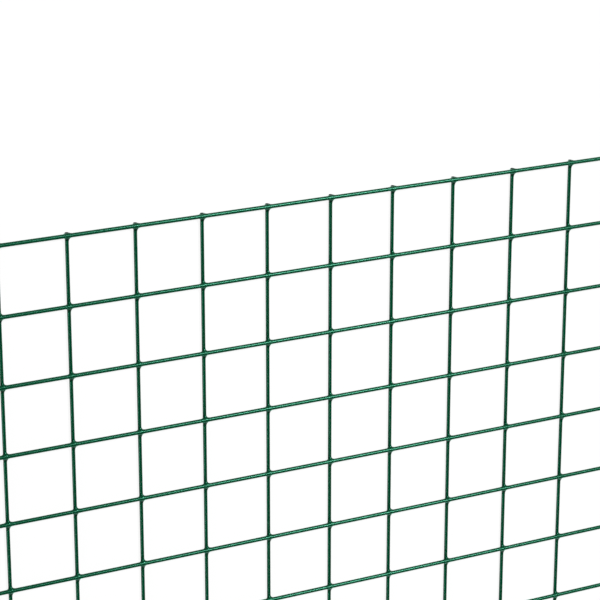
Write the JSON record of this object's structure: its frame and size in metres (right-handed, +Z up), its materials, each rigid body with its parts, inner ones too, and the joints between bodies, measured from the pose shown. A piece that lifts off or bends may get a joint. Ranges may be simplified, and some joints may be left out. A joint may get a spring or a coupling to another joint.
{
  "type": "welded wire mesh sheet",
  "caption": "Flat rectangular sheet of square welded wire mesh with a glossy green plastic coat, for fences, cages and plant supports; it lies flat on its cross wires.",
  "frame": {"origin": "middle of the sheet, on the surface that it lies on", "axes": "+X along the line wires and the sheet's length, +Y along the cross wires and its width, +Z up, from the cross wires to the line wires"},
  "size_m": [1.2224, 0.613, 0.005],
  "materials": {
    "green_coat": "glossy dark green plastic coat over steel wire"
  },
  "bodies": {
    "root": {"welded_wire_mesh": "green_coat"}
  },
  "joints": []
}
